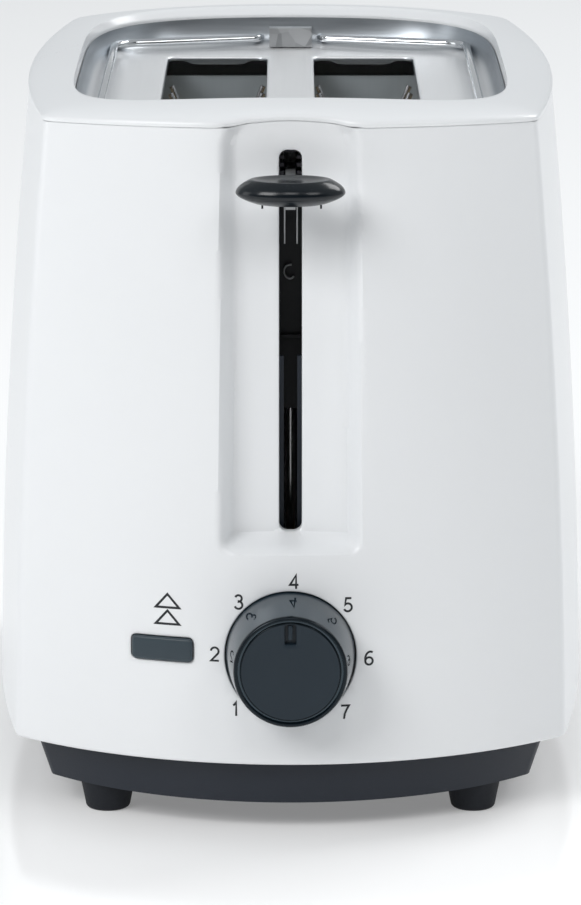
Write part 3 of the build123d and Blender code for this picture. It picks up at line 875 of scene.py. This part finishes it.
def recess_tray():
    """Pressed steel recess: flared walls, radiused rise, floor and two flanged bread slots."""
    loops = []
    # Height above the recess floor and distance inside the throat
    wall = [(8.9, 0.25), (7.5, 0.35), (4.2, 0.9), (2.4, 1.5), (1.2, 2.6), (0.35, 4.1), (0.06, 5.2), (0, 6.2)]
    for rise, inset in wall:
        loop = oval((THROAT[0] - inset, THROAT[1] - inset), RECESS_FLOOR + rise)
        share = max(0.0, (RECESS_FLOOR + rise - RECESS_RISE) / 6.5)
        loops.append([(x, y, h - crown(x) * share) for x, y, h in loop])
    skins = [stitched(loops)]
    boundary = [(x, y) for x, y, _ in loops[-1]]
    seeds = [(-52 + 4 * i, -84 + 4 * k) for i in range(27) for k in range(43)]
    inner = [(x * 0.985, y * 0.985) for x, y in boundary]
    seeds = [(x, y) for x, y in seeds if inside(inner, x, y)]
    wide, long = BREAD_HALF
    holes = []
    for x in (-BREAD_X, BREAD_X):
        rings = []
        for d in (0.0, 0.06, 0.2, 0.45, SLOT_EDGE):
            rings.append(rounded_rectangle(x, 0, wide + d, long + d, BREAD_CORNER + d, 0.6))
        holes.append(rings)
    points, faces = sheet_with_holes(boundary, seeds, holes)
    placed = []
    for x, y in points:
        gap = min(distance_to(rings[0], x, y) for rings in holes)
        placed.append((x, y, RECESS_FLOOR - rounding(gap, SLOT_EDGE)))
    skins.append((placed, faces))
    for rings, middle in zip(holes, (-BREAD_X, BREAD_X)):
        edge = [(x, y, RECESS_FLOOR - SLOT_EDGE) for x, y in rings[0]]
        hem = []
        for x, y, z in edge:
            drop = 1.6
            if abs(y) > long - 2:
                drop = 0.5 + 1.1 * blend((9.5 - abs(x - middle)) / 2.4)
            hem.append((x, y, z - drop))
        skins.append(stitched([hem, edge]))
        thick = [(x + (x - middle) * 0.03, y * 1.008, z) for x, y, z in hem]
        skins.append(stitched([thick, hem]))
    points, faces = joined(*skins)
    tray = piece("recess_tray", points, faces, FINISHES["stainless"], "housing", 40)
    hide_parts("top_tray")


# ------------------------------------------------------------ controls
def lathe(profile_points, middle, count=128):
    """Skin turned about a line along Y; the profile holds (radius, y) pairs."""
    loops = []
    for radius, y in profile_points:
        loops.append([(x, y, z) for x, z in circle(*middle, radius, count)])
    return stitched(loops)


def dial_cap():
    """Glossy cone and rim of the dial."""
    front = -DIAL_FRONT
    r = DIAL_FRONT_R
    groove = r - DIAL_RIM
    disc = groove - DIAL_GROOVE
    turned = [
        (DIAL_BACK_R - 1.5, -DIAL_BACK),
        (DIAL_COLLAR_R, -DIAL_BACK),
        (DIAL_COLLAR_R, -DIAL_COLLAR),
        (r + 0.12, front + 0.95),
        (r + 0.03, front + 0.55),
        (r - 0.12, front + 0.22),
        (r - 0.34, front + 0.05),
        (r - 0.5, front),
        (groove + 0.12, front),
        (groove + 0.03, front + 0.03),
        (groove, front + 0.12),
        (groove - 0.03, front + 1.0),
        (disc + 0.12, front + 1.0),
        (disc + 0.08, front + DIAL_RECESS + 0.22),
        (disc, front + DIAL_RECESS + 0.08),
        (disc - 0.12, front + DIAL_RECESS),
        (disc - 0.3, front + DIAL_RECESS),
    ]
    points, faces = lathe(turned, (0, CONTROL_Z))
    cap = piece("dial_cap", points, faces, DIAL_GLOSS, "dial", 50)
    cap.data.materials.append(DIAL_EDGE)
    for face in cap.data.polygons:
        if face.center.y * 1000 - SHIFT_Y < 0.9 - DIAL_FRONT:
            face.material_index = 1
    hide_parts("browning_dial")


def dial_disc():
    """Flat front of the dial with its pointer notch and raised rib."""
    radius = DIAL_FRONT_R - DIAL_RIM - DIAL_GROOVE - 0.28
    low = CONTROL_Z + NOTCH_LOW
    high = CONTROL_Z + radius - 0.22
    middle = (low + high) / 2
    tall = (high - low) / 2
    notch = []
    for d in (0, 0.08, NOTCH_ROUND):
        notch.append(rounded_rectangle(0, middle, NOTCH_HALF + d, tall + d, 0.35 + d, 0.5))
    boundary = circle(0, CONTROL_Z, radius, 120)
    seeds = [(-14 + i, CONTROL_Z - 14 + k) for i in range(29) for k in range(29)]
    seeds = [(x, z) for x, z in seeds if math.hypot(x, z - CONTROL_Z) < radius - 0.6]
    points, faces = sheet_with_holes(boundary, seeds, [notch])
    y = -DIAL_FRONT + DIAL_RECESS
    placed = [(x, y + rounding(distance_to(notch[0], x, z), NOTCH_ROUND), z) for x, z in points]
    edge = [(x, y + NOTCH_ROUND, z) for x, z in notch[0]]
    deep = [(x, y + NOTCH_DEEP, z) for x, z in notch[0]]
    skins = [(placed, faces), stitched([edge, deep])]
    skins.append((deep, [tuple(range(len(deep)))[::-1]]))
    rib = []
    for half, depth in ((0.62, NOTCH_DEEP), (0.55, 0.25), (0.42, 0.12), (0.2, 0.08)):
        loop = rounded_rectangle(0, middle + 0.5, half, tall - 0.7, min(half, 0.4) * 0.98, 0.6)
        rib.append([(x, y + depth, z) for x, z in loop])
    skins.append(stitched(rib))
    skins.append((rib[-1], [tuple(range(len(rib[-1])))]))
    points, faces = joined(*skins)
    piece("dial_disc", points, faces, DIAL_FACE, "dial", 40)


def stop_key():
    """Stop button with a softly rounded edge, bowed with the housing."""
    loops = []
    wide, high = BUTTON_HALF
    edge = ((0.0, 8.0), (0.0, 0.7), (0.05, 0.4), (0.2, 0.16), (0.45, 0.04), (0.9, 0.0), (2.2, -0.02))
    for inset, sink in edge:
        loop = []
        corner = max(0.3, 1.2 - inset)
        for x, z in rounded_rectangle(BUTTON_X, BUTTON_Z, wide - inset, high - inset, corner, 1, (20, 6)):
            loop.append((x, -end_face(x, z) - BUTTON_PROUD + sink, z))
        loops.append(loop)
    boundary = [(x, z) for x, _, z in loops[-1]]
    seeds = [(BUTTON_X - 7 + i, BUTTON_Z - 2 + k) for i in range(15) for k in range(5)]
    seeds = [seed for seed in seeds if inside(boundary, *seed) and not near(boundary, *seed, 0.5)]
    flat, cap = sheet_with_holes(boundary, seeds, [])
    crowned = [(x, -end_face(x, z) - BUTTON_PROUD - 0.02, z) for x, z in flat]
    points, faces = joined(stitched(loops), (crowned, cap))
    key = piece("stop_key", points, faces, FINISHES["button_grey"], "button", 40)
    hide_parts("stop_button")


def lever_pad():
    """Glossy finger pad with a full rounded rim and a shallow dish."""
    middle = -(KNOB_BACK + KNOB_FRONT) / 2
    depth = (KNOB_FRONT - KNOB_BACK) / 2
    height = KNOB_HIGH - KNOB_LOW
    belly = KNOB_LOW + height * 0.44
    sections = [(0.02, KNOB_LOW + 0.1), (0.4, KNOB_LOW + 0.02), (0.6, KNOB_LOW)]
    for i in range(1, 13):
        t = 1 - i / 12
        sections.append((0.62 + 0.38 * (1 - t ** 1.6), belly - (belly - KNOB_LOW) * t ** 0.94))
    for i in range(1, 13):
        t = i / 12
        sections.append((0.74 + 0.26 * (1 - t ** 1.9), belly + (KNOB_HIGH - 0.1 - belly) * t ** 0.94))
    sections += [(0.70, KNOB_HIGH), (0.64, KNOB_HIGH - 0.12), (0.56, KNOB_HIGH - 0.36)]
    sections += [(0.44, KNOB_HIGH - 0.58), (0.25, KNOB_HIGH - 0.72), (0.02, KNOB_HIGH - 0.78)]
    loops = []
    for share, z in sections:
        loop = []
        for x, y in circle(0, 0, share):
            loop.append((KNOB_HALF * x, middle + depth * y, z))
        loops.append(loop)
    points, faces = stitched(loops)
    pad = piece("lever_pad", points, faces, FINISHES["gloss_black"], "carriage", 60)
    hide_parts("lever_knob")


def bar(x0, x1, y0, y1, z0, z1, soft=0.12):
    """Small box with chamfered edges, as a skin."""
    loops = []
    for y, cut in ((y0, soft), (y0 + soft, 0.0), (y1 - soft, 0.0), (y1, soft)):
        left, right, low, high = x0 + cut, x1 - cut, z0 + cut, z1 - cut
        loops.append([(left, y, low), (right, y, low), (right, y, high), (left, y, high)])
    points, faces = stitched(loops)
    last = len(points)
    return points, faces + [(3, 2, 1, 0), (last - 4, last - 3, last - 2, last - 1)]


def pad_fins():
    """Two small guide fins under the finger pad and the folded cheeks of its arm."""
    low, high = KNOB_LOW - 1.9, KNOB_LOW + 1.2
    skins = [bar(x - 0.25, x + 0.25, -124.5, -119.0, low, high) for x in (-7.3, 7.9)]
    points, faces = joined(*skins)
    piece("pad_fins", points, faces, FINISHES["gloss_black"], "carriage", 30)
    cheeks = [bar(x - 0.22, x + 0.22, -106.0, -104.0, 155.0, 166.5) for x in (-1.55, 1.75)]
    points, faces = joined(*cheeks)
    piece("arm_cheeks", points, faces, FINISHES["galvanised"], "carriage", 30)


def wire_through(name, points_mm, radius, finish, body):
    """Bent round wire with softened bends."""
    curve = bpy.data.curves.new(name, "CURVE")
    curve.dimensions = "3D"
    spline = curve.splines.new("NURBS")
    spline.points.add(len(points_mm) - 1)
    for place, (x, y, z) in zip(spline.points, points_mm):
        place.co = (x / 1000, (y + SHIFT_Y) / 1000, z / 1000, 1)
    spline.order_u = 3
    spline.use_endpoint_u = True
    curve.bevel_depth = radius / 1000
    curve.bevel_resolution = 5
    source = bpy.data.objects.new(name + "_path", curve)
    bpy.context.collection.objects.link(source)
    mesh = bpy.data.meshes.new_from_object(source)
    bpy.data.objects.remove(source)
    mesh.materials.clear()
    mesh.materials.append(finish)
    for face in mesh.polygons:
        face.use_smooth = True
    made = bpy.data.objects.new(name, mesh)
    bpy.context.collection.objects.link(made)
    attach(made, body)


def slot_details():
    """Louvres beside and above the arm's path, and the latch hook and rib of the carriage."""
    louvres = [bar(-4.5, 4.5, -107.0, -106.0, 179.6, 180.4)]
    for low in (173.6, 175.7, 177.8):
        louvres += [bar(x, x + 2.8, -107.0, -106.0, low, low + 0.9) for x in (-4.5, 1.7)]
    points, faces = joined(*louvres)
    piece("slot_louvres", points, faces, FINISHES["components"], "housing", 30)
    bends = ((0.3, 147.2), (-1.5, 147.2), (-1.8, 144.4), (0.1, 143.0), (0.9, 144.1))
    hook = [(x, -93.5, z) for x, z in bends]
    wire_through("latch_hook", hook, 0.28, FINISHES["galvanised"], "carriage")
    points, faces = bar(-2.6, 2.6, -93.8, -93.2, 127.4, 128.3)
    piece("carriage_rib", points, faces, FINISHES["components"], "carriage", 30)


# ------------------------------------------------------------ printed marks
def printed(name, flat_points, faces):
    """Thin ink film that follows the front face."""
    points = [(x, -end_face(x, z) - MARK_LIFT, z) for x, z in flat_points]
    piece(name, points, faces, INK, "housing")


def arc(cx, cz, radius, start, end, count=16, squeeze=1.0):
    """Points along an arc, angles in degrees."""
    angles = [math.radians(start + (end - start) * i / count) for i in range(count + 1)]
    return [(cx + radius * math.cos(a), cz + radius * squeeze * math.sin(a)) for a in angles]


# Each number's strokes in a box one unit high
NUMBER_STROKES = {
    1: [[(0.12, 0.76), (0.22, 0.82), (0.33, 0.98), (0.33, 0.0)]],
    2: [arc(0.31, 0.70, 0.27, 175, -38) + [(0.05, 0.03), (0.60, 0.03)]],
    3: [arc(0.29, 0.74, 0.23, 160, -85) + arc(0.29, 0.27, 0.27, 85, -160)],
    4: [[(0.45, 0.0), (0.45, 0.96), (0.03, 0.28), (0.62, 0.28)]],
    5: [[(0.54, 0.96), (0.17, 0.96), (0.10, 0.50)] + arc(0.29, 0.31, 0.28, 125, -155)],
    6: [arc(0.31, 0.30, 0.26, 0, 360, 28), [(0.05, 0.30)] + arc(0.40, 0.44, 0.36, 170, 62, 12, 1.45)],
    7: [[(0.04, 0.96), (0.60, 0.96), (0.44, 0.68), (0.31, 0.38), (0.25, 0.0)]],
}


def stroke(points, width):
    """Flat band of even width along a line."""
    left, right = [], []
    closed = math.dist(points[0], points[-1]) < 1e-6
    last = len(points) - 1
    for i, (x, z) in enumerate(points):
        before = points[last - 1] if closed and i == 0 else points[max(0, i - 1)]
        after = points[1] if closed and i == last else points[min(last, i + 1)]
        a = Vector((x - before[0], z - before[1]))
        b = Vector((after[0] - x, after[1] - z))
        a = (a if a.length > 0 else b).normalized()
        b = (b if b.length > 0 else a).normalized()
        along = (a + b).normalized()
        reach = width / 2 / max(0.45, along.dot(a))
        left.append((x - along.y * reach, z + along.x * reach))
        right.append((x + along.y * reach, z - along.x * reach))
    count = len(points)
    return left + right, [(i, i + 1, count + i + 1, count + i) for i in range(count - 1)]


def number_mark(digit, x, z):
    """One dial number."""
    size = NUMBER_HEIGHT
    skins = []
    for line in NUMBER_STROKES[digit]:
        placed = [(x + (px - 0.32) * size, z + (pz - 0.48) * size) for px, pz in line]
        skins.append(stroke(placed, NUMBER_STROKE))
    printed(f"number_{digit}", *joined(*skins))


def dial_numbers():
    """Numbers 1 to 7 round the dial."""
    for i in range(7):
        a = math.radians(-135 + NUMBER_TURN + 45 * i)
        x = NUMBER_SHIFT[0] + NUMBER_RADIUS * math.sin(a)
        number_mark(i + 1, x, CONTROL_Z + NUMBER_SHIFT[1] + NUMBER_RADIUS * math.cos(a))


def triangle_mark(name, low, high, half, line):
    """Outlined triangle."""
    slope = math.hypot(half, high - low)
    inner_low = low + line
    inner_high = high - line * slope / half
    inner_half = half * (inner_high - inner_low) / (high - low)
    outer = [(MARK_X - half, low), (MARK_X + half, low), (MARK_X, high)]
    inner = [(MARK_X - inner_half, inner_low), (MARK_X + inner_half, inner_low), (MARK_X, inner_high)]
    points = []
    for corners in (outer, inner):
        for i, start in enumerate(corners):
            begin, end = Vector(start), Vector(corners[(i + 1) % 3])
            points += [tuple(begin.lerp(end, k / 12)) for k in range(12)]
    faces = [(i, (i + 1) % 36, 36 + (i + 1) % 36, 36 + i) for i in range(36)]
    printed(name, points, faces)


# ------------------------------------------------------------ build
# Plates inside the housing that get the near-black sheet as painted shade
SHADED_PARTS = ("carriage_plate", "front_plate")
HEATED_PARTS = ("rear_plate", "reflector_left", "reflector_right")


def dress_nodes():
    """Gives each solid the finish of its slot, or of its place in the machine."""
    for part in frame["record"]["subparts"]:
        node = frame["nodes"][part["node"]]
        finish = FINISHES[part["material_slot"]]
        if not node.material_slots:
            node.data.materials.append(finish)
        # Painted shade: the shaded plates get the near-black sheet in place of their own finish
        if part["node"] in SHADED_PARTS:
            finish = PAINTED_SHADE_SHEET
        if part["node"].startswith("rack_bearing"):
            finish = FINISHES["galvanised"]
        if part["node"] in HEATED_PARTS:
            finish = HEATED_SHEET
        for holder in node.material_slots:
            holder.material = finish


def floor_sweep():
    """Large plain floor."""
    half = 6000.0
    points = [(-half, -half, 0), (half, -half, 0), (half, half, 0), (-half, half, 0)]
    mesh = bpy.data.meshes.new("floor")
    mesh.from_pydata([(x / 1000, y / 1000, z / 1000) for x, y, z in points], [], [(0, 1, 2, 3)])
    mesh.materials.append(floor_paint("floor_paint"))
    made = bpy.data.objects.new("floor", mesh)
    bpy.context.collection.objects.link(made)


def soft_light(name, place, aim, size, power):
    """Rectangular soft box aimed at a point."""
    data = bpy.data.lights.new(name, "AREA")
    data.shape = "RECTANGLE"
    data.size, data.size_y = size
    data.energy = power
    lamp = bpy.data.objects.new(name, data)
    lamp.location = place
    lamp.rotation_euler = (Vector(aim) - Vector(place)).to_track_quat("-Z", "Y").to_euler()
    bpy.context.collection.objects.link(lamp)


def studio():
    """Pale surroundings and the soft boxes."""
    bpy.context.scene.view_settings.view_transform = "Standard"
    world = bpy.data.worlds.new("studio")
    world.use_nodes = True
    tree = world.node_tree
    back = tree.nodes["Background"]
    towards = tree.nodes.new("ShaderNodeTexCoord")
    split = tree.nodes.new("ShaderNodeSeparateXYZ")
    ramp = tree.nodes.new("ShaderNodeMapRange")
    ramp.interpolation_type = "SMOOTHSTEP"
    ramp.inputs["From Min"].default_value = 0.75
    ramp.inputs["From Max"].default_value = 0.2
    ramp.inputs["To Min"].default_value = WORLD_FRONT
    ramp.inputs["To Max"].default_value = WORLD
    flip = tree.nodes.new("ShaderNodeMath")
    flip.operation = "MULTIPLY"
    flip.inputs[1].default_value = -1.0
    tree.links.new(towards.outputs["Generated"], split.inputs[0])
    tree.links.new(split.outputs[1], flip.inputs[0])
    tree.links.new(flip.outputs[0], ramp.inputs["Value"])
    tree.links.new(ramp.outputs[0], back.inputs["Strength"])
    back.inputs["Color"].default_value = (0.93, 0.97, 1.0, 1)
    bpy.context.scene.world = world
    for name, place, size, power in LIGHTS:
        soft_light(name, place, (0, 0, 0.1), size, power)


def camera():
    """Long lens in front of the toaster and a little above it."""
    data = bpy.data.cameras.new("camera")
    data.sensor_width = 36.0
    data.lens = 198.9
    data.clip_end = 50
    made = bpy.data.objects.new("camera", data)
    made.location = (0, -1.3940, 0.3869)
    made.rotation_euler = (math.radians(90 - 12.544), 0, 0)
    bpy.context.collection.objects.link(made)
    bpy.context.scene.camera = made


dress_nodes()
housing_shell()
housing_rim()
recess_tray()
dial_cap()
dial_disc()
stop_key()
lever_pad()
pad_fins()
slot_details()
dial_numbers()
triangle_mark("mark_low", 56.6, 60.9, 3.75, 0.6)
triangle_mark("mark_high", 61.0, 65.3, 3.75, 0.6)
floor_sweep()
studio()
camera()
